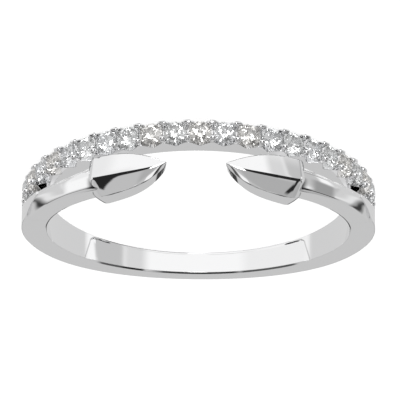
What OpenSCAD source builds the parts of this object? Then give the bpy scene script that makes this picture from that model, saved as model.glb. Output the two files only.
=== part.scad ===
// Arrow ring: a half-eternity row of round stones beside an open arrow, cast as one ring.
// The ring lies on its side. The finger axis is Z, the flat side face is at z = 0,
// the origin is the centre of the finger hole on that face, and the stones' top faces -Y.
// Angles along the ring are measured from the stones' top, and the arrow is mirrored in X.

/* [Finger hole] */
// Inner radius, a ring of size 7
bore_r = 8.67; // [8.2:0.01:9.2]

/* [Shank] */
// Radius of the outer circle
shank_r = 10.10; // [9.9:0.01:10.6]
// Shift of the outer circle towards the stones, which thins the back
shank_shift = 0.18; // [0:0.01:0.4]
// Amount by which the outside stands out at the two soft corners of the back
corner_out = 0.21; // [0:0.01:0.3]
// Width of the ring along the finger at its sides
side_w = 2.4; // [2:0.05:3]
// Rise of the sloped side face for each millimetre towards the stones
side_slope = 0.121; // [0.05:0.001:0.15]

/* [Sizing panel] */
// Half width of the recessed panel inside the back of the ring, at its open side
panel_half = 6.55; // [3:0.05:7]
// Amount by which the panel is narrower at its closed side, on each end
panel_taper = 0.3; // [0:0.05:0.5]
// Depth of the recess
panel_depth = 0.05; // [0.02:0.01:0.1]
// Strip left at the flat side of the recess
panel_rim = 0.15; // [0.05:0.01:0.3]
// Corner radius of the recess
panel_corner = 0.35; // [0.1:0.05:0.6]
// Width of the bevel along the open side of the recess
panel_bevel = 0.22; // [0.1:0.01:0.35]

/* [Stone row] */
// Diameter of one stone
stone_d = 1.28; // [1.1:0.01:1.3]
// Angle between two stones
pitch = 7.955; // [7.8:0.005:8.1]
// Radius of the stones' girdles from the finger axis
girdle_r = 9.95; // [9.8:0.01:10.1]
// Height of the stones' centres above the flat side face
stone_z = 0.65; // [0.64:0.01:0.7]
// Width of the band that carries the stones
row_w = 1.23; // [1.1:0.01:1.3]
// Outer radius of that band between the stones
row_r = 9.86; // [9.7:0.01:9.95]

/* [Prongs] */
// Radius of a prong
prong_r = 0.15; // [0.1:0.005:0.155]
// Distance of a near prong from the middle of the row, on the arrow's side
prong_off = 0.42; // [0.4:0.01:0.45]
// Radius of the bead on a near prong, and the height of its centre above the girdles
bead_r = 0.2; // [0.15:0.005:0.21]
bead_rise = 0.22; // [0.2:0.01:0.3]
// Distance of a far prong from the middle of the row
far_prong_off = 0.48; // [0.45:0.01:0.49]
// Radius, half length along the ring and height of a far bead, which is a short bar
far_bead_r = 0.15; // [0.12:0.005:0.155]
far_bead_half = 0.1; // [0.05:0.01:0.12]
far_bead_rise = 0.28; // [0.15:0.01:0.3]
// Radius of the crests that the flat side's wall forms beside the far prongs
crest_r = 10.05; // [9.9:0.01:10.08]

/* [Arrow shaft] */
// Radius of the shaft's crown from the finger axis
shaft_top_r = 9.98; // [9.9:0.01:10.3]
// Radius of the shaft's crease on the sloped side face
shaft_crease_r = 9.76; // [9.6:0.01:9.9]
// Height of the shaft's far edge above the flat side face
shaft_far_z = 2.0; // [1.8:0.01:2.1]
// Angle at which the shaft's pointed end runs out on the shank
leaf_end = 77.5; // [74:0.5:80]
// Distance of that point from the outer rim
leaf_inset = 0.14; // [0.05:0.01:0.25]

/* [Arrowheads] */
// Angle of the tip at the finger hole
tip_a = 12.8; // [8:0.1:16]
// Angle of the base
base_a = 39.1; // [36:0.1:43]
// Widths of the head's two halves near its base, on the side of the sloped face and on the far side
head_half = 1.1; // [1:0.01:1.25]
head_far_half = 1.16; // [1:0.01:1.3]
// Height of the head's middle line above the flat side face
head_z = 2.64; // [2.55:0.01:2.75]
// Heights of the head's side walls above the finger hole, on the same two sides
head_wall = 0.92; // [0.8:0.01:1.2]
head_far_wall = 1.3; // [0.9:0.01:1.4]
// Rise of the roof's ridge above the far wall
head_rise = 0.16; // [0.05:0.01:0.4]
// Length of the rounded band that ends the roof at the base
base_round = 0.4; // [0.2:0.01:0.6]
// Drop of that band at the far side and on the ridge, and its share at the near wall
base_drop = 0.33; // [0.1:0.01:0.7]
near_drop_share = 0.45; // [0:0.01:1]
// Length over which the base's near corner is rounded, on the side of the sloped face
near_round = 0.65; // [0.4:0.05:1.5]
// Amount by which the outline comes in at that corner
near_in = 0.45; // [0.2:0.01:0.8]
// Length over which the near wall curves in at its top towards the base, and how far it does
lean_round = 1.55; // [0.5:0.05:2]
lean_in = 0.2; // [0:0.01:0.5]
// Length over which the base's far corner is rounded
far_round = 0.2; // [0.1:0.05:1]
// Amount by which the outline comes in at that corner
far_in = 0.4; // [0.1:0.01:0.6]
// Angle by which the arrowhead at -X sits nearer the stones' top than its twin
head_turn = 2.4; // [0:0.1:3]
// Height by which that arrowhead sits nearer the sloped side
head_lift = 0.08; // [0:0.01:0.15]

/* [Hidden] */
STONES_A_SIDE = 10;
STONES = 2 * STONES_A_SIDE + 1;
STONE_NODES = [for (i = [1:STONES]) str("stone_", i < 10 ? "0" : "", i)];

metal_colour = [0.82, 0.83, 0.84];
stone_colour = [0.93, 0.95, 0.97];

// A round stone's proportions, as shares of its diameter
table_share = 0.57;
crown_share = 0.15;
girdle_share = 0.03;
pavilion_share = 0.405;
// Gap under a stone's point, and the angle by which its groove is wider on each side
seat_gap = 0.036;
seat_turn = 0.1;
// Half width of the groove's floor, as an angle
groove_flat = 0.25;

// Half width and height of the blank that the ring is cut from
blank_half = 15;
blank_h = 5;
// Radius at which the prongs start, inside the band
prong_foot_r = 9.17;
// Angle at which the full-width shank takes over from the two branches, and its steps
shank_from = 84;
shank_step = 2;
// Angles at which the outside leaves the circle and stands out most
corner_from = 104;
corner_a = 138;
branch_end = 88;
branch_start = 35;
branch_steps = 20;
arc_steps = 8;
// Depth to which a lofted branch reaches into the finger hole before the hole is cut
bore_reach = 0.4;
// Distance by which an arrowhead's inner face stays clear of the finger hole
head_gap = 0.01;
// How far a branch reaches past the sloped face before the face is cut
face_reach = 0.3;
// Depth of the shaft's crease under the sloped face
crease_sink = 0.01;
// Angles from which the shaft's crease, its far edge, its outer rim and its strip leave their even course
crease_turn = 58;
split_turn = 48;
leaf_turn = 64;
strip_turn = 50;
// Angle at which the branch meets the stone row, and its drop until there
split_end = 85;
split_drop = 0.7;
// Width and radius of the narrow strip beside the shaft, and the angle over which it reaches the outer rim
strip_w = 0.12;
strip_out_r = 9.92;
strip_run = 20;
// Rise of the far crease towards the pointed end, and the angle over which the shaft flattens there
leaf_rise = 0.58;
leaf_fade = 9;
// Fullness of the shaft's crown: 2 is an ellipse and more is squarer
crown_power = 3;
// Thickness of the crests, and half widths of their top and foot
crest_w = 0.08;
crest_top_half = 0.28;
crest_foot_half = 0.42;
crest_foot_r = 9.76;
// Half width of the arrowhead's blunt tip, and how much lower its near and far walls are there
tip_half = 0.04;
tip_wall_drop = 0.1;
tip_far_drop = 0.2;
head_steps = 12;
wall_steps = 4;
roof_steps = 9;
ridge_step = 4;
corner_steps = 4;
band_steps = 6;
head_length = bore_r * (base_a - tip_a) * PI / 180;
// Lean of the wall at the tip, where it runs almost straight towards the stones' top
tip_lean = -4;
tip_drop = 0.33;
ridge_at = 0.42;
// Bulge of the roof's near face, power of its far face's fall, and the share of a quarter circle
// that the base band starts at
near_bulge = 0.4;
far_power = 1.4;
band_first = 0.3;
// Power with which the near wall's top curves in towards the base
lean_power = 1.75;

// Point at radius r, angle a from the stones' top, height z
function at(r, a, z) = [r * sin(a), -r * cos(a), z];

// Smooth step from 0 to 1
function wave(x) = (1 - cos(180 * clamp01(x))) / 2;

// Departure of the outside from a circle, which makes the back slightly square
function back_shape(a) = corner_out * (a < corner_a ? wave((a - corner_from) / (corner_a - corner_from))
    : 1 - wave((a - corner_a) / (180 - corner_a)));

// Outer radius of the shank in direction a
function outer_r(a) =
    shank_shift * cos(a) + sqrt(pow(shank_r, 2) - pow(shank_shift * sin(a), 2)) + back_shape(a);

// Height of the sloped side face
function face_z(r, a) = side_w + side_slope * r * cos(a);

function clamp01(x) = max(0, min(1, x));

function mix(a, b, u) = a + (b - a) * u;

// Solid through a row of sections with the same number of points
module loft(sections) {
    n = len(sections[0]);
    last = len(sections) - 1;
    sides = [for (i = [0:last - 1]) for (j = [0:n - 1]) let (k = (j + 1) % n)
        for (half = [0, 1]) half == 0
            ? [i * n + j, i * n + k, (i + 1) * n + j]
            : [i * n + k, (i + 1) * n + k, (i + 1) * n + j]];
    start_cap = [for (j = [0:n - 1]) n - 1 - j];
    end_cap = [for (j = [0:n - 1]) last * n + j];
    polyhedron([for (s = sections) each s], concat([start_cap], sides, [end_cap]));
}

// The shank's half of the ring at full width, with a flat face below and a sloped one above
module shank() {
    linear_extrude(blank_h) polygon([for (a = [shank_from:shank_step:360 - shank_from])
        let (r = outer_r(min(a, 360 - a))) [r * sin(a), -r * cos(a)]]);
}

// Everything past the sloped side face
module past_face() {
    translate([0, 0, side_w]) rotate([-atan(side_slope), 0, 0]) translate([-blank_half, -blank_half, 0])
        cube([2 * blank_half, 2 * blank_half, blank_h]);
}

// Height of the branch's far edge, which falls to the stone row where the two branches join
function far_z(a) =
    shaft_far_z - split_drop * pow(clamp01((a - split_turn) / (split_end - split_turn)), 2.4);

// Share of the way from the even shaft's crease to the pointed end
function leaf_share(a) = clamp01((a - crease_turn) / (leaf_end - crease_turn));

// Height of the shaft's far crease, which curves over to the pointed end
function crease_far_z(a) = strip_w + max(far_z(a), shaft_far_z + leaf_rise * pow(leaf_share(a), 3));

// Radius of the shaft's near crease, which climbs towards the outer rim at the pointed end
function crease_r(a) = mix(shaft_crease_r, outer_r(leaf_end) - leaf_inset, pow(leaf_share(a), 3));

// Radius of the narrow strip beside the shaft
function strip_r(a) = mix(strip_out_r, outer_r(a), clamp01((a - strip_turn) / strip_run));

// Share of the way from the even shaft to its pointed end, where the outer rim comes in
function rim_share(a) = clamp01((a - leaf_turn) / (leaf_end - leaf_turn));

// Height of the shaft's crown at share u of its width
function crown(u) = pow(1 - pow(abs(2 * u - 1), crown_power), 1 / crown_power);

// Section of a branch: hole side, sloped face, rounded shaft, strip and far wall
function branch_section(a) =
    let (rim = rim_share(a))
    let (r0 = crease_r(a))
    let (r1 = mix(strip_r(a), r0, pow(rim, 3)))
    let (z0 = face_z(r0, a) - crease_sink)
    let (z1 = mix(min(crease_far_z(a), z0), z0, pow(rim, 6)))
    let (bulge = max(0, shaft_top_r - (r0 + r1) / 2) * clamp01((leaf_end - a) / leaf_fade))
    let (in_r = bore_r - bore_reach)
    let (out_r = rim > 0 ? outer_r(a) : r1)
    concat(
        [at(in_r, a, far_z(a)), at(in_r, a, z0 + face_reach), at(r0 - 0.1, a, z0 + face_reach)],
        [for (i = [0:arc_steps]) let (u = wave(i / arc_steps))
            at(mix(r0, r1, u) + bulge * crown(u), a, mix(z0, z1, u))],
        [at(out_r, a, mix(z1 - 0.03, face_z(out_r, a) + 0.02, pow(rim, 1.5))), at(out_r, a, far_z(a))]
    );

// The branch from the shank to the arrowhead, with the rounded arrow shaft on it
module arrow_shaft() {
    loft([for (i = [0:branch_steps]) branch_section(mix(branch_end, branch_start, i / branch_steps))]);
}

// Width of one half of the arrowhead at share t of its length from the tip
function head_w(t, half) = half * (1 - pow(1 - t, 3.3)) + tip_half;

// Circle arc that grows from 0 to 1 over the given length before the head's base.
// It starts level at first = 0, and with a crisp edge at a higher share of the quarter circle.
function base_curve(t, length, first = 0) =
    let (u = clamp01(1 - (1 - t) * head_length / length))
    1 - sqrt((1 - pow(mix(first, 1, u), 2)) / (1 - pow(first, 2)));

// Height of the roof at share u of its width from the near wall, with the base band's drop
function roof_h(u, near_h, ridge_h, far_h, drop) =
    let (v = min(1, u / ridge_at))
    let (w = max(0, (u - ridge_at) / (1 - ridge_at)))
    mix(near_h, ridge_h, v * (1 + near_bulge * (1 - v))) - (ridge_h - far_h) * pow(w, far_power)
        - drop * mix(near_drop_share, 1, wave(v));

// Shares of the roof's width at which its points lie, one of them on the ridge
function roof_share(i) = i < ridge_step ? ridge_at * i / ridge_step
    : ridge_at + (1 - ridge_at) * (i - ridge_step) / (roof_steps - ridge_step);

// Section of the arrowhead: a far wall, a near wall that curves in at the base, and a two-sided roof
function head_section(t) =
    let (a = mix(tip_a, base_a, t))
    let (lean = mix(tip_lean, base_a, t))
    let (mid = head_z - tip_drop * pow(1 - t, 6))
    let (near_w = head_w(t, head_half) - near_in * base_curve(t, near_round))
    let (far_w = head_w(t, head_far_half) - far_in * base_curve(t, far_round))
    let (curl = lean_in * pow(clamp01(1 - (1 - t) * head_length / lean_round), lean_power))
    let (near_h = head_wall - tip_wall_drop * pow(1 - t, 3))
    let (far_h = head_far_wall - tip_far_drop * pow(1 - t, 3))
    let (ridge_h = far_h + head_rise * (1 - pow(1 - t, 2)))
    let (drop = base_drop * base_curve(t, base_round, band_first))
    let (wall_h = roof_h(0, near_h, ridge_h, far_h, drop))
    let (wall = [for (i = [1:wall_steps - 1]) let (w = i * 90 / wall_steps)
        [near_w - curl * (1 - cos(w)), wall_h * sin(w)]])
    let (roof = [for (i = [0:roof_steps]) let (u = roof_share(i))
        [mix(near_w - curl, -far_w, u), roof_h(u, near_h, ridge_h, far_h, drop)]])
    let (foot = at(bore_r, a, mid))
    let (up = [sin(lean), -cos(lean), 0])
    concat(
        [foot + up * head_gap + [0, 0, -far_w], foot + up * head_gap + [0, 0, near_w]],
        [for (p = concat(wall, roof)) foot + up * p[1] + [0, 0, p[0]]]
    );

// Shares of the head's length: wider steps, then closer ones round the base
function head_shares() =
    let (corner = near_round / head_length)
    let (band = base_round / head_length)
    concat(
        [for (i = [0:head_steps]) (1 - corner) * pow(i / head_steps, 1.3)],
        [for (i = [1:corner_steps]) mix(1 - corner, 1 - band, i / corner_steps)],
        [for (i = [1:band_steps]) 1 - band * (1 - sin(i * 90 / band_steps))]);

module arrowhead() {
    loft([for (t = [for (i = [len(head_shares()) - 1:-1:0]) head_shares()[i]]) head_section(t)]);
}

// Band under the stones: its edge dips in a groove below each stone
module stone_band() {
    groove_r = girdle_r - pavilion_share * stone_d - seat_gap;
    half = (row_r - groove_r) / (2 * pavilion_share) / row_r * 180 / PI + seat_turn;
    end = (STONES_A_SIDE + 0.9) * pitch;
    core_r = bore_r - bore_reach;
    edge = [for (i = [-STONES_A_SIDE:STONES_A_SIDE]) each [
        [row_r, i * pitch - half], [groove_r, i * pitch - groove_flat],
        [groove_r, i * pitch + groove_flat], [row_r, i * pitch + half]]];
    outline = concat([[core_r, -end], [row_r, -end]], edge, [[row_r, end], [core_r, end]],
        [for (i = [STONES_A_SIDE:-1:-STONES_A_SIDE]) [core_r, i * pitch]]);
    linear_extrude(row_w) polygon([for (p = outline) [p[0] * sin(p[1]), -p[0] * cos(p[1])]]);
}

// Crest of the flat side's wall between two stones, standing towards -Y
module crest() {
    linear_extrude(crest_w) polygon([[-crest_foot_half, -crest_foot_r], [-crest_top_half, -crest_r],
        [crest_top_half, -crest_r], [crest_foot_half, -crest_foot_r]]);
}

// Round bar that stands outwards at height z, up to radius r
module prong_post(z, r) {
    translate([0, -prong_foot_r, z]) rotate([90, 0, 0])
        cylinder(r = prong_r, h = r - prong_foot_r, $fn = 24);
}

// Prong on the arrow's side, with a round bead
module near_prong() {
    bead_at = girdle_r + bead_rise;
    prong_post(stone_z + prong_off, bead_at);
    translate([0, -bead_at, stone_z + prong_off]) sphere(r = bead_r, $fn = 24);
}

// Prong on the flat side, with a bead drawn out along the ring
module far_prong() {
    bead_at = girdle_r + far_bead_rise;
    z = stone_z - far_prong_off;
    prong_post(z, bead_at);
    translate([-far_bead_half, -bead_at, z]) rotate([0, 90, 0])
        cylinder(r = far_bead_r, h = 2 * far_bead_half, $fn = 24);
    for (s = [-1, 1]) translate([s * far_bead_half, -bead_at, z]) sphere(r = far_bead_r, $fn = 24);
}

module prongs() {
    for (i = [-STONES_A_SIDE - 1:STONES_A_SIDE]) rotate([0, 0, (i + 0.5) * pitch]) {
        near_prong();
        far_prong();
        crest();
    }
}

// Outline of the sizing panel, seen from inside the finger hole
module panel_outline() {
    corner_x = panel_half - panel_taper - panel_corner;
    foot_z = panel_rim + panel_corner;
    open_z = face_z(bore_r, 180 - asin(panel_half / bore_r));
    polygon([[-corner_x, panel_rim], [corner_x, panel_rim], [corner_x + panel_corner, foot_z],
        [panel_half, open_z], [panel_half, blank_h], [-panel_half, blank_h], [-panel_half, open_z],
        [-corner_x - panel_corner, foot_z]]);
    for (s = [-1, 1]) translate([s * corner_x, foot_z]) circle(r = panel_corner, $fn = 32);
}

// Cone that bevels the rim of the finger hole, with the plane z = 0 as the face
module bevel_cone() {
    h = 2;
    translate([0, 0, -h])
        cylinder(r1 = bore_r + panel_bevel - h, r2 = bore_r + panel_bevel + h, h = 2 * h, $fn = 180);
}

// Recess inside the back of the ring, with a bevel along its open side
module sizing_panel() {
    intersection() {
        translate([0, blank_half, 0]) rotate([90, 0, 0]) linear_extrude(blank_half) panel_outline();
        union() {
            cylinder(r = bore_r + panel_depth, h = blank_h, $fn = 180);
            translate([0, 0, side_w]) rotate([-atan(side_slope), 0, 0]) bevel_cone();
        }
    }
}

// The ring without its arrowheads, before the finger hole is cut
module blank() {
    difference() {
        union() {
            shank();
            arrow_shaft();
            mirror([1, 0, 0]) arrow_shaft();
        }
        past_face();
    }
    stone_band();
    prongs();
}

// The cast metal of the ring, one solid
module ring_body() {
    color(metal_colour) union() {
        difference() {
            blank();
            translate([0, 0, -1]) cylinder(r = bore_r, h = blank_h + 2, $fn = 180);
            sizing_panel();
        }
        arrowhead();
        translate([0, 0, head_lift]) rotate([0, 0, head_turn]) mirror([1, 0, 0]) arrowhead();
    }
}

// Ring of points for a cut stone
function gem_ring(r, z, n, turn) =
    [for (i = [0:n - 1]) let (a = (i + turn) * 360 / n) [r * cos(a), r * sin(a), z]];

// A round cut stone with its table towards +Z and its girdle's lower edge at z = 0
module gem() {
    r = stone_d / 2;
    girdle = girdle_share * stone_d;
    crown = crown_share * stone_d;
    points = concat(
        gem_ring(r * table_share, girdle + crown, 8, 0),
        gem_ring(r * 0.8, girdle + crown * 0.62, 8, 0.5),
        gem_ring(r, girdle, 16, 0),
        gem_ring(r, 0, 16, 0),
        [[0, 0, -pavilion_share * stone_d]]);
    table = [[7, 6, 5, 4, 3, 2, 1, 0]];
    stars = [for (i = [0:7]) [i, (i + 1) % 8, 8 + i]];
    kites = [for (i = [0:7]) each [[i, 8 + i, 16 + 2 * i], [i, 16 + 2 * i, 8 + (i + 7) % 8]]];
    halves = [for (i = [0:7]) each [
        [8 + i, 16 + 2 * i + 1, 16 + 2 * i], [8 + i, 16 + (2 * i + 2) % 16, 16 + 2 * i + 1]]];
    belt = [for (i = [0:15]) let (k = (i + 1) % 16) [16 + i, 16 + k, 32 + k, 32 + i]];
    pavilion = [for (i = [0:15]) [32 + i, 32 + (i + 1) % 16, 48]];
    polyhedron(points, concat(table, stars, kites, halves, belt, pavilion));
}

// Stone number i, counted from -X to +X along the row
module stone(i) {
    color(stone_colour) rotate([0, 0, (i - 1 - STONES_A_SIDE) * pitch])
        translate([0, -girdle_r, stone_z]) rotate([90, 0, 0]) gem();
}

ring_body();
for (i = [1:STONES]) {
    stone(i);
}
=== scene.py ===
"""Looks of the arrow ring: one smooth polished body, prong beads and cut stones in a white studio.

Lengths are in millimetres until a mesh is made. An angle along the ring is measured from the
stones' top (-Y) towards +X, as in the CAD model.
"""
import math

import bpy
import numpy as np
from mathutils import Matrix, Vector

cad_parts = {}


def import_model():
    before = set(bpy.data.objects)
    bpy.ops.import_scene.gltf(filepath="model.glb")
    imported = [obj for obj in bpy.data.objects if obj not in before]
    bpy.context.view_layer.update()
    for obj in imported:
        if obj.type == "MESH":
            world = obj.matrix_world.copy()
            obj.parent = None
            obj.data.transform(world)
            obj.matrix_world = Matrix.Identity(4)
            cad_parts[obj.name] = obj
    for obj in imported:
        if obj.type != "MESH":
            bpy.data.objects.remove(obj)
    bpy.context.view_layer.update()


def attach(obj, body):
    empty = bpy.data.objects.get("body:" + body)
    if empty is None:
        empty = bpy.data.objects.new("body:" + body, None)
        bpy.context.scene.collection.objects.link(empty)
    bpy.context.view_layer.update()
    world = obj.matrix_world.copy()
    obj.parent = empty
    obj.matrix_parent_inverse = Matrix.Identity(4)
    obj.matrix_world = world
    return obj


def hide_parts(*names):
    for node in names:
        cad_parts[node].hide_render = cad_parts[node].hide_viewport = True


MM = 0.001
UP = np.array([0, 0, 1.0])

# Finger hole and shank. The outside is a shifted circle with more metal at the back's corners
BORE_R = 8.67
RIM_BEVEL = 0.08
SHANK_R, SHANK_SHIFT = 10.10, 0.18
CORNER_OUT, CORNER_FROM, CORNER_A = 0.21, 104.0, 138.0
SIDE_W, SIDE_SLOPE = 2.4, 0.121
SHANK_START_A = 84.0

# Sizing panel inside the back, with a soft step at its edge and a wider bevel along its open side
PANEL_HALF, PANEL_TAPER, PANEL_DEPTH = 6.55, 0.3, 0.05
PANEL_RIM, PANEL_CORNER, PANEL_STEP = 0.15, 0.35, 0.08
PANEL_BEVEL, PANEL_BEVEL_RUN = 0.14, 0.46
# The panel fades to a share of its depth at its closed side. The runs are those over which the depth
# comes back from that side, and over which the fading sets in from the panel's ends
PANEL_LOW_SHARE, PANEL_FADE, PANEL_END_FADE = 0.1, 1.15, 1.2

# Stones and the band that carries them
STONE_D, PITCH, GIRDLE_R, STONE_Z = 1.28, 7.955, 9.95, 0.65
STONES_A_SIDE = 10
TABLE_SHARE, CROWN_SHARE, GIRDLE_SHARE, PAVILION_SHARE = 0.57, 0.15, 0.03, 0.405
STAR_R_SHARE, STAR_HEIGHT_SHARE = 0.8, 0.62
INNER_R_SHARE, INNER_DEPTH_SHARE = 0.26, 0.755
ROW_W, ROW_R = 1.23, 9.86
ROW_OVERLAP = 0.1
SEAT_GAP, SEAT_TURN, GROOVE_FLAT = 0.036, 0.1, 0.25
# Faint body tints, which the stones take in turn, and which also colour their painted glow
TINTS = [(0.97, 0.98, 0.99), (0.97, 0.955, 0.93), (0.96, 0.97, 0.97)]

# Prongs, their beads and the far wall's crests between the stones
PRONG_R, PRONG_FOOT_R = 0.15, 9.17
NEAR_PRONG_OFF, NEAR_BEAD_R, NEAR_BEAD_RISE = 0.42, 0.2, 0.22
FAR_PRONG_OFF, FAR_BEAD_R, FAR_BEAD_HALF, FAR_BEAD_RISE = 0.48, 0.15, 0.1, 0.28
CREST_R, CREST_FOOT_R, CREST_W, CREST_TOP_HALF, CREST_FOOT_HALF = 10.05, 9.76, 0.08, 0.28, 0.42
# The far beads stand lower towards the row's ends, and the last beads of both sides lower still
FAR_END_RISE, FAR_FALL_FROM, FAR_FALL_RUN = 0.12, 35.0, 45.0
LAST_BEAD_DROP, LAST_FALL_FROM, LAST_FALL_RUN = 0.2, 72.0, 11.0
POST_SIDES = 24
BEAD_STEPS = 14

# Arrow shafts, which run out on the shank in a leaf-shaped end
BRANCH_START = 35.0
SHAFT_TOP_R, SHAFT_CREASE_R, SHAFT_FAR_Z = 9.98, 9.76, 2.0
CREASE_TURN, SPLIT_TURN, LEAF_TURN, STRIP_TURN = 58.0, 48.0, 64.0, 50.0
SPLIT_END, SPLIT_DROP, SPLIT_POWER = 85.0, 0.7, 2.4
STRIP_W, STRIP_OUT_R, STRIP_RUN = 0.12, 9.92, 20.0
LEAF_END, LEAF_INSET, LEAF_RISE, LEAF_FADE, LEAF_POWER = 77.5, 0.14, 0.58, 9.0, 3
RIM_STRIP_POWER, RIM_CREASE_POWER, RIM_SHOULDER_POWER = 3, 6, 1.5
CREASE_COVER, SHOULDER_DROP, SHOULDER_LIFT = 0.08, 0.03, 0.02
CROWN_POWER = 3.0
HOLE_POINTS = 34
CROWN_POINTS = 26

# Arrowheads, measured along the ring from the tip to the base
TIP_A, BASE_A, TIP_LEAN = 12.8, 39.1, -4.0
HEAD_LENGTH = BORE_R * math.radians(BASE_A - TIP_A)
HEAD_HALF, HEAD_FAR_HALF, HEAD_Z, TIP_HALF, POINT_POWER = 1.1, 1.16, 2.64, 0.04, 3.3
HEAD_WALL, HEAD_FAR_WALL, HEAD_RISE = 0.92, 1.3, 0.16
TIP_DROP, TIP_WALL_DROP, TIP_FAR_DROP = 0.33, 0.1, 0.2
# Turn and lift of the arrowhead at -X against the mirror image of the one at +X
HEAD_TURN, HEAD_LIFT = 2.4, 0.08
# Roof: its ridge, and the swelling of its near and far slopes
RIDGE_AT, RIDGE_ZONE, RIDGE_SOFT = 0.42, 0.1, 0.05
NEAR_BULGE, FAR_POWER = 0.4, 1.4
# Base: how far each side is rounded in, over which length, and the near wall's lean towards it
BASE_ROUND, BASE_DROP, BAND_FIRST, NEAR_DROP_SHARE = 0.4, 0.33, 0.3, 0.45
NEAR_ROUND, NEAR_IN, FAR_ROUND, FAR_IN = 0.65, 0.45, 0.2, 0.4
LEAN_ROUND, LEAN_IN, LEAN_POWER = 1.55, 0.2, 1.75
NOSE_STEPS, CORNER_STEPS, BAND_STEPS, NOSE_CROWDING = 40, 14, 20, 1.3

# Rounding of the polished edges: a fine one is just softened, a merged one only joined smoothly
EDGE_R, FINE_R, RIM_R, MERGED_R = 0.045, 0.02, 0.03, 0.001
NEAR_EAVE_R, FAR_EAVE_R, EAVE_SHARE = 0.13, 0.08, 0.3

# The photo's camera: angles in degrees, distance in metres, lens and shift in the photo's pixels
VIEW_AZIMUTH, VIEW_ELEVATION, VIEW_ROLL, VIEW_DISTANCE = 0.4, 23.71, 0.333, 0.300
PHOTO_W, FOCAL_LENGTH, SHIFT_X, SHIFT_Y = 400, 5231.8, 1.5, -6.8
SENSOR_W = 36

# Half the floor's width and its height, in metres, just under the ring
FLOOR_HALF, FLOOR_Z = 1.5, -2e-6


def clamp01(x):
    return max(0.0, min(1.0, x))


def mix(a, b, u):
    return a + (b - a) * u


def smooth(x):
    x = clamp01(x)
    return x * x * (3 - 2 * x)


def wave(x):
    return (1 - math.cos(math.pi * clamp01(x))) / 2


def outwards(a):
    """Direction away from the finger axis at angle a in degrees."""
    t = math.radians(a)
    return np.array([math.sin(t), -math.cos(t), 0])


def along_ring(a):
    """Direction along the ring at angle a in degrees."""
    t = math.radians(a)
    return np.array([math.cos(t), math.sin(t), 0])


def back_shape(a):
    """Departure of the outside from a circle, which makes the back slightly square."""
    if a < CORNER_A:
        return CORNER_OUT * wave((a - CORNER_FROM) / (CORNER_A - CORNER_FROM))
    return CORNER_OUT * (1 - wave((a - CORNER_A) / (180 - CORNER_A)))


def outer_r(a):
    """Outer radius of the shank."""
    t = math.radians(a)
    circle = SHANK_SHIFT * math.cos(t) + math.sqrt(SHANK_R ** 2 - (SHANK_SHIFT * math.sin(t)) ** 2)
    return circle + back_shape(a)


def face_z(r, a):
    """Height of the sloped near side face."""
    return SIDE_W + SIDE_SLOPE * r * math.cos(math.radians(a))


# Outlines of sections, made of runs of points that meet at rounded or sharp corners

def line(p, q, n):
    u = np.linspace(0, 1, n)[:, None]
    return np.asarray(p, float) * (1 - u) + np.asarray(q, float) * u


def run_tangents(points, spare):
    """Unit direction at each point of a run, or the spare direction where the run has no length."""
    steps = np.diff(points, axis=0)
    inner = (steps[1:] + steps[:-1]) / 2
    out = np.vstack([steps[:1], inner, steps[-1:]])
    size = np.linalg.norm(out, axis=1, keepdims=True)
    return np.where(size > 1e-9, out / np.maximum(size, 1e-9), spare)


def corner_between(run, after, t0, t1, radius):
    """Corner between two runs: its point, both directions and how far its rounding reaches."""
    widest_turn, most_share = 2.6, 0.45
    turn = math.acos(max(-1.0, min(1.0, float(t0 @ t1))))
    back = min(radius * math.tan(min(turn, widest_turn) / 2),
               most_share * np.linalg.norm(run[-1] - run[0]),
               most_share * np.linalg.norm(after[-1] - after[0]))
    return run[-1].copy(), t0, t1, back


def trim_end(points, corner, direction, back):
    """Moves the points of a run that lie within a corner's rounding back along its direction."""
    out = points.copy()
    near = (out - corner) @ direction > -back
    out[near] = corner - direction * back
    return out


def rounding(corner, t0, t1, back, steps):
    """Points and directions of a corner's rounding, without its two ends."""
    a, b = corner - t0 * back, corner + t1 * back
    points, directions = [], []
    for i in range(1, steps):
        u = i / steps
        points.append(a * (1 - u) ** 2 + corner * 2 * u * (1 - u) + b * u * u)
        d = (corner - a) * (1 - u) + (b - corner) * u
        size = np.linalg.norm(d)
        directions.append(d / size if size > 1e-9 else t0)
    return points, directions


def outline(runs, radii, spares, steps=4):
    """Closed outline from runs of points.

    The radius with a run's number rounds the corner after that run, and 0 keeps the corner sharp.
    Returns the points, their directions and whether each point is joined to the next one.
    """
    count = len(runs)
    runs = [np.array(r, float) for r in runs]
    dirs = [run_tangents(r, np.asarray(s, float)) for r, s in zip(runs, spares)]
    corners = []
    for k in range(count):
        after = (k + 1) % count
        corners.append(corner_between(runs[k], runs[after], dirs[k][-1], dirs[after][0], radii[k]))
    for k, (corner, t0, t1, back) in enumerate(corners):
        if radii[k] > 0:
            after = (k + 1) % count
            runs[k] = trim_end(runs[k], corner, t0, back)
            runs[after] = trim_end(runs[after][::-1], corner, -t1, back)[::-1]
    points, tangents, joined = [], [], []
    for k in range(count):
        points.extend(runs[k])
        tangents.extend(dirs[k])
        joined.extend([True] * (len(runs[k]) - 1))
        joined.append(radii[k] > 0)
        if radii[k] > 0:
            round_points, round_dirs = rounding(*corners[k], steps)
            points.extend(round_points)
            tangents.extend(round_dirs)
            joined.extend([True] * len(round_points))
    return np.array(points), np.array(tangents), np.array(joined)


def to_space(points, directions, joined, a):
    """A flat section's points and directions in space at angle a, and its joined marks."""
    out = outwards(a)
    place = points[:, :1] * out + points[:, 1:] * UP
    return place, directions[:, :1] * out + directions[:, 1:] * UP, joined


def quads(rows, cols, joined=None):
    """Faces between neighbouring rows of points that run round, left out where not joined."""
    faces = []
    for i in range(rows - 1):
        for j in range(cols):
            if joined is None or joined[j]:
                m = (j + 1) % cols
                faces.append([i * cols + j, i * cols + m, (i + 1) * cols + m, (i + 1) * cols + j])
    return faces


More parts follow.
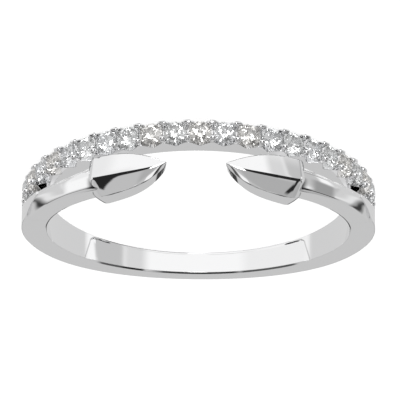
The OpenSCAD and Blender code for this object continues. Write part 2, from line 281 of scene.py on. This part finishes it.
class Shells:
    """Vertices, normals and faces of overlapping shells that make one mesh."""

    def __init__(self):
        self.points, self.normals, self.faces = [], [], []
        self.count = 0

    def add(self, points, normals, faces):
        points = np.asarray(points, float).reshape(-1, 3)
        normals = np.asarray(normals, float).reshape(-1, 3)
        self.points.append(points)
        self.normals.append(normals)
        self.faces.extend([[i + self.count for i in f] for f in faces])
        self.count += len(points)

    def add_flat(self, corners, normal):
        """One flat face."""
        self.add(corners, np.tile(normal, (len(corners), 1)), [list(range(len(corners)))])

    def skin(self, sections):
        """Closed skin over sections in space: their points, directions and joined marks."""
        points = np.array([p for p, _, _ in sections])
        along = np.array([d for _, d, _ in sections])
        joined = sections[-1][2]
        across = np.empty_like(points)
        across[1:-1] = points[2:] - points[:-2]
        across[0] = points[1] - points[0]
        across[-1] = points[-1] - points[-2]
        normals = np.cross(along, across)
        normals /= np.maximum(np.linalg.norm(normals, axis=2, keepdims=True), 1e-12)
        self.add(points, normals, quads(*points.shape[:2], joined))
        self.cap(points[0], flip=False)
        self.cap(points[-1], flip=True)

    def cap(self, ring, flip):
        """Flat face over the points of one section."""
        middle = ring.mean(0)
        normal = np.cross(ring - middle, np.roll(ring, -1, 0) - middle).sum(0)
        normal /= max(np.linalg.norm(normal), 1e-12)
        order = list(range(len(ring)))
        if flip:
            order, normal = order[::-1], -normal
        self.add(ring, np.tile(normal, (len(ring), 1)), [order])

    def changed(self, move, turn, faces):
        """The same shells with their points and normals changed."""
        other = Shells()
        other.points = [move(p) for p in self.points]
        other.normals = [turn(n) for n in self.normals]
        other.faces, other.count = faces, self.count
        return other

    def mirror(self):
        """The same shells mirrored in X."""
        flip = np.array([-1.0, 1.0, 1.0])
        return self.changed(lambda p: p * flip, lambda n: n * flip, [f[::-1] for f in self.faces])

    def turn(self, degrees):
        """The same shells turned about the finger axis."""
        c, s = math.cos(math.radians(degrees)), math.sin(math.radians(degrees))
        m = np.array([[c, -s, 0], [s, c, 0], [0, 0, 1]])
        return self.changed(lambda p: p @ m.T, lambda n: n @ m.T, self.faces)

    def lift(self, height):
        """The same shells moved up."""
        return self.changed(lambda p: p + np.array([0, 0, height]), lambda n: n, self.faces)

    def join(self, other):
        self.points.extend(other.points)
        self.normals.extend(other.normals)
        self.faces.extend([[i + self.count for i in f] for f in other.faces])
        self.count += other.count

    def build(self, name, material):
        mesh = bpy.data.meshes.new(name)
        mesh.from_pydata((np.vstack(self.points) * MM).tolist(), [], self.faces)
        mesh.polygons.foreach_set("use_smooth", [True] * len(mesh.polygons))
        mesh.update()
        mesh.normals_split_custom_set_from_vertices(np.vstack(self.normals).tolist())
        return place_mesh(name, mesh, material)


def place_mesh(name, mesh, material):
    mesh.materials.append(material)
    obj = bpy.data.objects.new(name, mesh)
    bpy.context.scene.collection.objects.link(obj)
    return obj


def steps_between(stops, sizes):
    """Angles between the stops, with the given step size in each stretch."""
    out = [stops[0]]
    for a, b, size in zip(stops, stops[1:], sizes):
        n = max(1, round((b - a) / size))
        out.extend(mix(a, b, (i + 1) / n) for i in range(n))
    return out


# Shank and branches: sweeps of one section round the ring

def far_z(a):
    """Height of the branch's far edge, which falls to the stone row where the branches join."""
    share = clamp01((a - SPLIT_TURN) / (SPLIT_END - SPLIT_TURN))
    return SHAFT_FAR_Z - SPLIT_DROP * share ** SPLIT_POWER


def leaf_share(a):
    return clamp01((a - CREASE_TURN) / (LEAF_END - CREASE_TURN))


def crease_far_z(a):
    return STRIP_W + max(far_z(a), SHAFT_FAR_Z + LEAF_RISE * leaf_share(a) ** LEAF_POWER)


def crease_r(a):
    return mix(SHAFT_CREASE_R, outer_r(LEAF_END) - LEAF_INSET, leaf_share(a) ** LEAF_POWER)


def strip_r(a):
    return mix(STRIP_OUT_R, outer_r(a), clamp01((a - STRIP_TURN) / STRIP_RUN))


def rim_share(a):
    return clamp01((a - LEAF_TURN) / (LEAF_END - LEAF_TURN))


def hole_x(a):
    """Distance of the finger hole's wall from the ring's middle plane at angle a."""
    return abs(BORE_R * math.sin(math.radians(a)))


def panel_depth_at(a, z):
    """Depth of the sizing panel's recess at a point of the finger hole's wall."""
    if a < 90:
        return 0.0
    x = hole_x(a)
    open_z = face_z(BORE_R, 180 - math.degrees(math.asin(PANEL_HALF / BORE_R)))
    side_x = PANEL_HALF - PANEL_TAPER
    foot_z = PANEL_RIM + PANEL_CORNER
    slant = mix(side_x, PANEL_HALF, clamp01((z - foot_z) / (open_z - foot_z)))
    inside = slant - x
    if x > side_x - PANEL_CORNER and z < foot_z:
        reach = math.hypot(x - (side_x - PANEL_CORNER), foot_z - z)
        inside = min(inside, PANEL_CORNER - reach)
    fade = mix(PANEL_LOW_SHARE, 1.0, clamp01((z - PANEL_RIM) / PANEL_FADE))
    fade = mix(1.0, fade, clamp01(inside / PANEL_END_FADE))
    return PANEL_DEPTH * smooth(inside / PANEL_STEP + 0.5) * fade * (z > PANEL_RIM)


def bevel_w(a):
    """Width of the bevel along the finger hole's rim, wide along the sizing panel."""
    if a < 90:
        return RIM_BEVEL
    return mix(RIM_BEVEL, PANEL_BEVEL, clamp01((PANEL_HALF - hole_x(a)) / PANEL_BEVEL_RUN))


def hole_run(a, low_z, bevel):
    """Wall of the finger hole, from its low end up to the bevel."""
    top_z = face_z(BORE_R + bevel, a) - bevel + PANEL_DEPTH
    heights = mix(low_z, top_z, np.linspace(0, 1, HOLE_POINTS))
    return [[BORE_R + panel_depth_at(a, z), z] for z in heights]


def crown_run(a, r0, r1, z0, z1):
    """Top of the arrow shaft from its inner crease to its outer one, not above the side face."""
    bulge = max(0.0, SHAFT_TOP_R - (r0 + r1) / 2) * clamp01((LEAF_END - a) / LEAF_FADE)
    u = (1 - np.cos(np.linspace(0, math.pi, CROWN_POINTS))) / 2
    rise = np.maximum(0.0, 1 - np.abs(2 * u - 1) ** CROWN_POWER) ** (1 / CROWN_POWER)
    crown = np.stack([mix(r0, r1, u) + bulge * rise, mix(z0, z1, u)], 1)
    crown[:, 1] = np.minimum(crown[:, 1], face_z(crown[:, 0], a))
    return crown


def ring_section(a, low_z):
    """Section of a branch, or of the shank where low_z is 0."""
    rim = rim_share(a)
    r0 = min(crease_r(a), outer_r(a) - CREASE_COVER)
    r1 = mix(strip_r(a), r0, rim ** RIM_STRIP_POWER)
    z0 = face_z(r0, a)
    z1 = mix(min(crease_far_z(a), z0), z0, rim ** RIM_CREASE_POWER)
    out_r = outer_r(a) if rim > 0 else r1
    edge_z = face_z(out_r, a)
    drop_z = mix(z1 - SHOULDER_DROP, edge_z + SHOULDER_LIFT, rim ** RIM_SHOULDER_POWER)
    shoulder, foot = [out_r, min(drop_z, edge_z)], [out_r, low_z]
    bevel = bevel_w(a)
    rim_edge = [BORE_R + bevel, face_z(BORE_R + bevel, a)]
    hole = hole_run(a, low_z, bevel)
    crown = crown_run(a, r0, r1, z0, z1)
    runs = [
        hole,
        line(hole[-1], rim_edge, 3),
        line(rim_edge, crown[0], 5),
        crown,
        line(crown[-1], shoulder, 4),
        line(shoulder, foot, 5),
        line(foot, [BORE_R, low_z], 5),
    ]
    slope = SIDE_SLOPE * math.cos(math.radians(a))
    flat = np.array([1.0, slope]) / math.hypot(1.0, slope)
    spares = [[0, 1], flat, flat, flat, flat, [0, -1], [-1, 0]]
    crease = 0.0 if a < LEAF_END else MERGED_R
    radii = [FINE_R, RIM_R, crease, crease, EDGE_R if rim > 0.5 else FINE_R, EDGE_R, EDGE_R]
    return to_space(*outline(runs, radii, spares), a)


def make_branch():
    """One arrow shaft with its half of the shank, up to the middle of the back."""
    panel_a = 180 - math.degrees(math.asin(PANEL_HALF / BORE_R))
    panel_b = 180 - math.degrees(math.asin((PANEL_HALF - PANEL_TAPER - PANEL_CORNER) / BORE_R))
    shaft = steps_between([BRANCH_START, LEAF_END - 0.02], [0.5])
    joint = steps_between([LEAF_END, SHANK_START_A], [1.0])
    shank = steps_between([SHANK_START_A, panel_a - 0.2, panel_b, 180], [1.0, 0.12, 0.7])
    shells = Shells()
    shells.skin([ring_section(a, far_z(a)) for a in shaft])
    shells.skin([ring_section(a, far_z(a)) for a in joint])
    shells.skin([ring_section(a, 0.0) for a in shank])
    return shells


def row_outer_r(a):
    """Outer radius of the stone band, which dips in a groove under each stone."""
    groove_r = GIRDLE_R - PAVILION_SHARE * STONE_D - SEAT_GAP
    half = math.degrees((ROW_R - groove_r) / (2 * PAVILION_SHARE) / ROW_R) + SEAT_TURN
    off = abs(a - round(a / PITCH) * PITCH)
    if abs(round(a / PITCH)) > STONES_A_SIDE:
        return ROW_R
    return mix(groove_r, ROW_R, clamp01((off - GROOVE_FLAT) / (half - GROOVE_FLAT)))


def row_section(a):
    out_r = row_outer_r(a)
    corners = [[BORE_R, 0], [BORE_R, ROW_W], [out_r, ROW_W], [out_r, 0]]
    runs = [line(p, q, 3) for p, q in zip(corners, corners[1:] + corners[:1])]
    radii = [RIM_R, FINE_R, FINE_R, RIM_R]
    return to_space(*outline(runs, radii, [[0, 1], [1, 0], [0, -1], [-1, 0]], steps=3), a)


def make_row():
    """Band that carries the stones."""
    end = SHANK_START_A + ROW_OVERLAP
    shells = Shells()
    shells.skin([row_section(a) for a in steps_between([-end, end], [0.3])])
    return shells


# Arrowheads

def head_w(t, half):
    """Half width of the arrowhead's outline at share t of its length from the tip."""
    return half * (1 - (1 - t) ** POINT_POWER) + TIP_HALF


def base_curve(t, length, first=0.0):
    """Circle arc that grows from 0 to 1 over the given length before the head's base."""
    u = clamp01(1 - (1 - t) * HEAD_LENGTH / length)
    return 1 - math.sqrt(max(0.0, 1 - mix(first, 1, u) ** 2) / (1 - first ** 2))


def roof_height(u, near_h, ridge_h, far_h, drop):
    """Height of the roof at shares u of its width from the near wall, with the base band's drop."""
    v = u / RIDGE_AT
    w = np.clip((u - RIDGE_AT) / (1 - RIDGE_AT), 0, 1)
    sunk = drop * mix(NEAR_DROP_SHARE, 1, (1 - np.cos(math.pi * np.minimum(1, v))) / 2)
    near = mix(near_h, ridge_h, v * (1 + NEAR_BULGE * (1 - v)))
    far = mix(ridge_h, far_h, w ** FAR_POWER)
    share = np.clip(0.5 + 0.5 * (far - near) / RIDGE_SOFT, 0, 1)
    return mix(far, near, share) - RIDGE_SOFT * share * (1 - share) - sunk


def roof_run(t, near_w, far_w):
    """Roof of the head at share t of its length, from its near eave to its far eave."""
    drop = 0.0
    if t > 1 - BASE_ROUND / HEAD_LENGTH:
        drop = BASE_DROP * base_curve(t, BASE_ROUND, BAND_FIRST)
    near_h = HEAD_WALL - TIP_WALL_DROP * (1 - t) ** 3
    far_h = HEAD_FAR_WALL - TIP_FAR_DROP * (1 - t) ** 3
    ridge_h = far_h + HEAD_RISE * (1 - (1 - t) ** 2)
    start, end = RIDGE_AT - RIDGE_ZONE, RIDGE_AT + RIDGE_ZONE
    ridge_u = np.linspace(start, end, 18)[1:-1]
    u = np.concatenate([np.linspace(0, start, 10), ridge_u, np.linspace(end, 1, 14)])
    height = roof_height(u, near_h, ridge_h, far_h, drop)
    return np.stack([height, mix(near_w, -far_w, u)], 1)


def head_section(t):
    """Section of the arrowhead at share t of its length from the tip."""
    near_w = head_w(t, HEAD_HALF) - NEAR_IN * base_curve(t, NEAR_ROUND)
    far_w = head_w(t, HEAD_FAR_HALF) - FAR_IN * base_curve(t, FAR_ROUND)
    curl = LEAN_IN * clamp01(1 - (1 - t) * HEAD_LENGTH / LEAN_ROUND) ** LEAN_POWER
    roof = roof_run(t, near_w - curl, far_w)
    bend = np.linspace(0, math.pi / 2, 14)
    wall = np.stack([roof[0, 0] * np.sin(bend), near_w - curl * (1 - np.cos(bend))], 1)
    runs = [line([0, -far_w], [0, near_w], 3), wall, roof, line(roof[-1], [0, -far_w], 6)]
    most = EAVE_SHARE * head_w(t, HEAD_HALF)
    radii = [FINE_R, min(NEAR_EAVE_R, most), min(FAR_EAVE_R, most), FINE_R]
    points, directions, joined = outline(runs, radii, [[0, 1], [1, 0], [0, -1], [-1, 0]])
    foot = outwards(mix(TIP_A, BASE_A, t)) * BORE_R + UP * (HEAD_Z - TIP_DROP * (1 - t) ** 6)
    lean = outwards(mix(TIP_LEAN, BASE_A, t))
    place = foot + points[:, :1] * lean + points[:, 1:] * UP
    return place, directions[:, :1] * lean + directions[:, 1:] * UP, joined


def make_head():
    """Arrowhead at +X, with sections that crowd at its tip and at its rounded base."""
    corner = NEAR_ROUND / HEAD_LENGTH
    band = BASE_ROUND / HEAD_LENGTH
    shares = [(1 - corner) * (i / NOSE_STEPS) ** NOSE_CROWDING for i in range(NOSE_STEPS + 1)]
    shares += [mix(1 - corner, 1 - band, i / CORNER_STEPS) for i in range(1, CORNER_STEPS + 1)]
    for i in range(1, BAND_STEPS + 1):
        shares.append(1 - band * (1 - math.sin(math.radians(i * 90 / BAND_STEPS))))
    shells = Shells()
    shells.skin([head_section(t) for t in shares])
    return shells


def make_body():
    """The shank, the two branches with their arrow shafts, the stone band and the arrowheads."""
    shells = Shells()
    branch = make_branch()
    shells.join(branch)
    shells.join(branch.mirror())
    shells.join(make_row())
    head = make_head()
    shells.join(head)
    shells.join(head.mirror().turn(HEAD_TURN).lift(HEAD_LIFT))
    return shells


# Prongs and stones

def add_turned(shells, a, z, profile, stretch=0.0):
    """Adds a shell turned about the axis that points outwards at angle a and height z.

    The profile is a list of (radius, distance from the finger axis, normal's two parts).
    A stretch pulls the shell's two halves apart along the ring.
    """
    out, side = outwards(a), along_ring(a)
    points, normals = [], []
    for r, h, normal_around, normal_out in profile:
        for k in range(POST_SIDES):
            t = 2 * math.pi * (k + 0.5) / POST_SIDES
            around = side * math.cos(t) + UP * math.sin(t)
            shift = side * math.copysign(stretch, math.cos(t))
            points.append(out * h + around * r + UP * z + shift)
            normals.append(around * normal_around + out * normal_out)
    shells.add(points, normals, quads(len(profile), POST_SIDES))


def add_prong(shells, a, z, bead_r, bead_at, start, stretch=0.0):
    """A prong's shaft, and its bead from the given angle at the bead's foot to its top."""
    bead = []
    for i in range(BEAD_STEPS + 1):
        t = mix(start, math.pi, i / BEAD_STEPS)
        c, s = math.cos(t), math.sin(t)
        bead.append((bead_r * s, bead_at - bead_r * c, s, -c))
    add_turned(shells, a, z, [(PRONG_R, PRONG_FOOT_R, 1.0, 0.0), (PRONG_R, bead_at, 1.0, 0.0)])
    add_turned(shells, a, z, bead, stretch)


def add_crest(shells, a):
    """Crest of the flat side's wall between two stones."""
    corners = [(-CREST_FOOT_HALF, CREST_FOOT_R), (-CREST_TOP_HALF, CREST_R),
               (CREST_TOP_HALF, CREST_R), (CREST_FOOT_HALF, CREST_FOOT_R)]
    low = [along_ring(a) * x + outwards(a) * r for x, r in corners]
    high = [p + UP * CREST_W for p in low]
    shells.add_flat(low[::-1], -UP)
    shells.add_flat(high, UP)
    for i in range(3):
        quad = [low[i], low[i + 1], high[i + 1], high[i]]
        normal = np.cross(quad[1] - quad[0], quad[2] - quad[0])
        shells.add_flat(quad, normal / np.linalg.norm(normal))


def make_prongs():
    shells = Shells()
    for i in range(-STONES_A_SIDE - 1, STONES_A_SIDE + 1):
        a = (i + 0.5) * PITCH
        far_rise = mix(FAR_BEAD_RISE, FAR_END_RISE, smooth((abs(a) - FAR_FALL_FROM) / FAR_FALL_RUN))
        drop = LAST_BEAD_DROP * smooth((abs(a) - LAST_FALL_FROM) / LAST_FALL_RUN)
        near_at = GIRDLE_R + NEAR_BEAD_RISE - drop
        far_at = GIRDLE_R + far_rise - drop
        near_start = math.asin(PRONG_R / NEAR_BEAD_R)
        add_prong(shells, a, STONE_Z + NEAR_PRONG_OFF, NEAR_BEAD_R, near_at, near_start)
        add_prong(shells, a, STONE_Z - FAR_PRONG_OFF, FAR_BEAD_R, far_at, 0.0, FAR_BEAD_HALF)
        add_crest(shells, a)
    return shells


def ring_of(r, z, n, turn):
    """Ring of n points at height z, turned by a share of the step between two of them."""
    angles = [2 * math.pi * (i + turn) / n for i in range(n)]
    return [(r * math.cos(t), r * math.sin(t), z) for t in angles]


def stone_points():
    """Corners of the cut: table, star ring, the girdle's two edges, inner ring and bottom point."""
    r = STONE_D / 2
    girdle = GIRDLE_SHARE * STONE_D
    crown = CROWN_SHARE * STONE_D
    depth = PAVILION_SHARE * STONE_D
    points = ring_of(r * TABLE_SHARE, girdle + crown, 8, 0)
    points += ring_of(r * STAR_R_SHARE, girdle + crown * STAR_HEIGHT_SHARE, 8, 0.5)
    points += ring_of(r, girdle, 16, 0)
    points += ring_of(r, 0, 16, 0)
    points += ring_of(r * INNER_R_SHARE, -depth * INNER_DEPTH_SHARE, 8, 0.5)
    return points + [(0, 0, -depth)]


def stone_faces():
    """Facets of the cut: the table, then the facets of each eighth, then the girdle."""
    star, upper, lower, inner, bottom = 8, 16, 32, 48, 56
    faces = [list(range(8))]
    for i in range(8):
        before = (i + 7) % 8
        edge, after = 2 * i, (2 * i + 2) % 16
        faces.append([i, star + i, (i + 1) % 8])
        faces.append([i, star + before, upper + edge, star + i])
        faces.append([star + i, upper + edge, upper + edge + 1])
        faces.append([star + i, upper + edge + 1, upper + after])
        faces.append([lower + edge, inner + before, bottom, inner + i])
        faces.append([lower + edge, inner + i, lower + edge + 1])
        faces.append([lower + edge + 1, inner + i, lower + after])
    for i in range(16):
        k = (i + 1) % 16
        faces.append([upper + i, lower + i, lower + k, upper + k])
    return faces


def make_stone(name, a, spin, material):
    """A brilliant-cut stone at angle a, turned by spin about its own axis."""
    place = Matrix.Rotation(math.radians(a), 4, "Z") @ Matrix.Translation((0, -GIRDLE_R, STONE_Z))
    place = place @ Matrix.Rotation(math.radians(90), 4, "X")
    place = place @ Matrix.Rotation(math.radians(spin), 4, "Z")
    mesh = bpy.data.meshes.new(name)
    mesh.from_pydata([place @ Vector(p) * MM for p in stone_points()], [], stone_faces())
    mesh.update()
    return place_mesh(name, mesh, material)


# Materials

def new_material(name, color):
    material = bpy.data.materials.new(name)
    material.use_nodes = True
    shader = material.node_tree.nodes["Principled BSDF"]
    shader.inputs["Base Color"].default_value = (*color, 1)
    return material, shader


def uneven_gloss(material, shader, scale, detail, low, high):
    """Varies the roughness a little over the surface, as polishing leaves it."""
    nodes, links = material.node_tree.nodes, material.node_tree.links
    place = nodes.new("ShaderNodeTexCoord")
    cloud = nodes.new("ShaderNodeTexNoise")
    cloud.inputs["Scale"].default_value = scale
    cloud.inputs["Detail"].default_value = detail
    gloss = nodes.new("ShaderNodeMapRange")
    gloss.inputs["To Min"].default_value = low
    gloss.inputs["To Max"].default_value = high
    links.new(place.outputs["Object"], cloud.inputs["Vector"])
    links.new(cloud.outputs["Fac"], gloss.inputs["Value"])
    links.new(gloss.outputs["Result"], shader.inputs["Roughness"])


def polished_metal():
    """Rhodium-white metal with a high polish and slightly uneven gloss."""
    material, shader = new_material("polished_white_metal", (0.93, 0.93, 0.935))
    shader.inputs["Metallic"].default_value = 1.0
    uneven_gloss(material, shader, scale=900.0, detail=3.0, low=0.025, high=0.07)
    return material


def clear_stone(name, tint):
    """Clear cut stone, faintly tinted, with a faint painted glow for the light that it scatters."""
    material, shader = new_material(name, tint)
    shader.inputs["Transmission Weight"].default_value = 1.0
    shader.inputs["IOR"].default_value = 2.2
    # Painted glow in the stone's own tint, though the stone is no lamp
    shader.inputs["Emission Color"].default_value = (*tint, 1)
    shader.inputs["Emission Strength"].default_value = 0.032
    uneven_gloss(material, shader, scale=1500.0, detail=2.0, low=0.0, high=0.012)
    return material


# Studio

class Sky:
    """The studio around the ring as brightness by direction: soft windows over an even ground."""

    def __init__(self, level):
        world = bpy.data.worlds.new("studio")
        bpy.context.scene.world = world
        world.use_nodes = True
        self.nodes, self.links = world.node_tree.nodes, world.node_tree.links
        place = self.nodes.new("ShaderNodeTexCoord")
        split = self.nodes.new("ShaderNodeSeparateXYZ")
        self.links.new(place.outputs["Generated"], split.inputs["Vector"])
        x, y, z = split.outputs
        self.elevation = self.math("MULTIPLY", self.math("ARCSINE", z), 180 / math.pi)
        turn = self.math("ARCTAN2", x, self.math("MULTIPLY", y, -1.0))
        self.azimuth = self.math("MULTIPLY", turn, 180 / math.pi)
        self.level = self.math("ADD", level, 0.0)

    def math(self, kind, a, b=None):
        node = self.nodes.new("ShaderNodeMath")
        node.operation = kind
        for slot, value in zip(node.inputs, (a, b)):
            if value is None:
                continue
            if isinstance(value, (int, float)):
                slot.default_value = value
            else:
                self.links.new(value, slot)
        return node.outputs[0]

    def ramp(self, value, start, end):
        """0 before start and 1 after end, with a smooth step between them."""
        node = self.nodes.new("ShaderNodeMapRange")
        node.interpolation_type = "SMOOTHSTEP"
        node.inputs["From Min"].default_value = start
        node.inputs["From Max"].default_value = end
        self.links.new(value, node.inputs["Value"])
        return node.outputs["Result"]

    def window(self, value, low, high, soft):
        rise = self.ramp(value, low - soft / 2, low + soft / 2)
        fall = self.ramp(value, high + soft / 2, high - soft / 2)
        return self.math("MULTIPLY", rise, fall)

    def paint(self, level, elevation, azimuth=None):
        """Sets the brightness inside a window of directions, given as (low, high, softness)."""
        mask = self.window(self.elevation, *elevation)
        if azimuth is not None:
            mask = self.math("MULTIPLY", mask, self.window(self.azimuth, *azimuth))
        change = self.math("MULTIPLY", mask, self.math("SUBTRACT", level, self.level))
        self.level = self.math("ADD", self.level, change)

    def paint_both(self, level, elevation, azimuth):
        """Paints a window and its mirror image on the other side."""
        low, high, soft = azimuth
        self.paint(level, elevation, (low, high, soft))
        self.paint(level, elevation, (-high, -low, soft))

    def finish(self):
        self.links.new(self.level, self.nodes["Background"].inputs["Color"])


def paint_ceiling(sky):
    """The dark ceiling over the object, at which only its fillets and its facets' ends look."""
    sky.paint(0.05, elevation=(62, 91, 6))
    sky.paint_both(0.05, elevation=(48, 91, 6), azimuth=(94, 135, 6))
    sky.paint_both(0.58, elevation=(40, 82, 6), azimuth=(148, 181, 8))
    sky.paint(1.0, elevation=(73, 80, 4), azimuth=(-90, 90, 30))


def paint_table(sky):
    """The pale table as the metal sees it, greyer at the sides, and painted shade under the object.
    """
    sky.paint(1.0, elevation=(-91, -3, 6))
    sky.paint(0.88, elevation=(-60, -24, 10), azimuth=(58, 96, 20))
    sky.paint(0.9, elevation=(-31, -16, 4), azimuth=(35, 92, 12))
    # Painted shade straight below, which the metal mirrors in place of the shaded floor under the
    # object
    sky.paint(0.03, elevation=(-91, -56, 8), azimuth=(-96, 96, 20))
    sky.paint_both(0.66, elevation=(-40, -5, 8), azimuth=(96, 181, 8))
    sky.paint(0.56, elevation=(-40, -8, 10), azimuth=(-84, -58, 5))
    sky.paint(0.72, elevation=(-40, -8, 10), azimuth=(-58, -40, 10))


def paint_horizon(sky):
    """The dark gap between the table and the lights, and the grey that the shaft at -X looks at."""
    sky.paint(0.02, elevation=(-1, 9, 4), azimuth=(-78, 78, 6))
    sky.paint(0.42, elevation=(-46, -29, 4), azimuth=(-98, -76, 8))
    sky.paint(0.34, elevation=(-15, 0, 4), azimuth=(-98, -78, 8))
    sky.paint(0.02, elevation=(1, 6, 3), azimuth=(-104, -76, 10))
    sky.paint(0.2, elevation=(1, 4, 2), azimuth=(76, 150, 6))
    sky.paint(0.02, elevation=(-13, 12, 4), azimuth=(22, 75, 6))
    sky.paint(0.02, elevation=(-13, 16, 4), azimuth=(8, 45, 4))
    sky.paint(0.02, elevation=(-13, 12, 4), azimuth=(-72, -22, 6))
    sky.paint(0.02, elevation=(-13, 14, 4), azimuth=(-45, -8, 4))
    sky.paint_both(0.05, elevation=(-8, 4, 3), azimuth=(120, 181, 8))
    sky.paint_both(0.6, elevation=(-12, -2, 3), azimuth=(121, 149, 4))
    sky.paint_both(0.6, elevation=(2, 8, 3), azimuth=(121, 149, 4))


def paint_front(sky):
    """The grey front and its bright lights, which the stones look at."""
    sky.paint(0.44, elevation=(16, 50, 8), azimuth=(-90, 90, 30))
    sky.paint(0.54, elevation=(16, 50, 8), azimuth=(15, 90, 15))
    sky.paint(0.42, elevation=(9, 34, 8), azimuth=(-100, -80, 8))
    sky.paint(7.0, elevation=(-10, 15, 4), azimuth=(-7, 7, 3))
    sky.paint(1.0, elevation=(51, 58, 4), azimuth=(15, 56, 8))
    sky.paint(1.0, elevation=(51, 58, 4), azimuth=(-60, -15, 8))


def paint_upper_gaps(sky):
    """Dark gaps above the front, which the bevel along the finger hole's rim looks at."""
    sky.paint(0.04, elevation=(59, 70, 4), azimuth=(-45, 50, 10))
    sky.paint(0.03, elevation=(44, 59, 4), azimuth=(-89, -66, 5))
    sky.paint(0.1, elevation=(54, 62, 4), azimuth=(56, 70, 6))
    sky.paint(0.1, elevation=(46, 60, 4), azimuth=(66, 92, 6))
    sky.paint_both(0.1, elevation=(38, 52, 4), azimuth=(86, 104, 6))


def paint_side_gaps(sky):
    """Dark gaps beside the camera, where the arrowheads' bases look. The one at +X is a wedge."""
    wedge_steps, rise, narrowing = 12, 1.7, 3.1
    for step in range(wedge_steps):
        low = 6 + rise * step
        sky.paint(0.02, elevation=(low, low + 6, 3), azimuth=(37 + narrowing * step, 75, 4))
    sky.paint(0.02, elevation=(8, 36, 6), azimuth=(-73, -66, 3))


def make_sky():
    """A pale table below, a grey front, bright lights above and dark gaps between them."""
    sky = Sky(0.58)
    paint_ceiling(sky)
    paint_table(sky)
    paint_horizon(sky)
    paint_front(sky)
    paint_upper_gaps(sky)
    paint_side_gaps(sky)
    sky.finish()


def make_floor():
    """Plain pale floor, which the metal and the stones don't mirror."""
    s, z = FLOOR_HALF, FLOOR_Z
    mesh = bpy.data.meshes.new("floor")
    mesh.from_pydata([(-s, -s, z), (s, -s, z), (s, s, z), (-s, s, z)], [], [[0, 1, 2, 3]])
    material, shader = new_material("pale_floor", (0.9, 0.9, 0.9))
    shader.inputs["Roughness"].default_value = 1.0
    shader.inputs["Specular IOR Level"].default_value = 0.0
    shader.inputs["Emission Color"].default_value = (1, 1, 1, 1)
    shader.inputs["Emission Strength"].default_value = 0.72
    floor = place_mesh("floor", mesh, material)
    floor.visible_glossy = False
    floor.visible_transmission = False


def make_camera():
    """The camera at the photo's angle: the photo shows the lying ring turned by half a turn."""
    azimuth, elevation, roll = (math.radians(x) for x in (VIEW_AZIMUTH, VIEW_ELEVATION, VIEW_ROLL))
    level = math.cos(elevation)
    back = Vector((math.sin(azimuth) * level, -math.cos(azimuth) * level, math.sin(elevation)))
    right = (-back).cross(Vector((0, 0, 1))).normalized()
    up = right.cross(-back)
    right, up = -right, -up
    camera = bpy.data.cameras.new("camera")
    camera.sensor_width = SENSOR_W
    camera.lens = FOCAL_LENGTH / PHOTO_W * SENSOR_W
    camera.shift_x = SHIFT_X / PHOTO_W
    camera.shift_y = SHIFT_Y / PHOTO_W
    camera.clip_start = 0.01
    camera.clip_end = 10
    axes = Matrix.Identity(3)
    axes.col[0] = math.cos(roll) * right + math.sin(roll) * up
    axes.col[1] = -math.sin(roll) * right + math.cos(roll) * up
    axes.col[2] = back
    obj = bpy.data.objects.new("camera", camera)
    obj.matrix_world = Matrix.Translation(back * VIEW_DISTANCE) @ axes.to_4x4()
    bpy.context.scene.collection.objects.link(obj)
    bpy.context.scene.camera = obj


def main():
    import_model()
    bpy.context.scene.view_settings.view_transform = "Standard"
    make_camera()
    make_sky()
    make_floor()
    metal = polished_metal()
    body = make_body().build("ring_metal", metal)
    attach(body, "root")
    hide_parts("ring_body")
    prongs = make_prongs().build("prong_beads", metal)
    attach(prongs, "root")
    glass = [clear_stone(f"clear_stone_{i + 1}", tint) for i, tint in enumerate(TINTS)]
    for i in range(2 * STONES_A_SIDE + 1):
        node = f"stone_{i + 1:02d}"
        spin = (i * 37) % 45
        tinted = glass[(i * 7 + i // 3) % len(TINTS)]
        stone = make_stone(f"cut_{node}", (i - STONES_A_SIDE) * PITCH, spin, tinted)
        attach(stone, "root")
        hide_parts(node)


main()
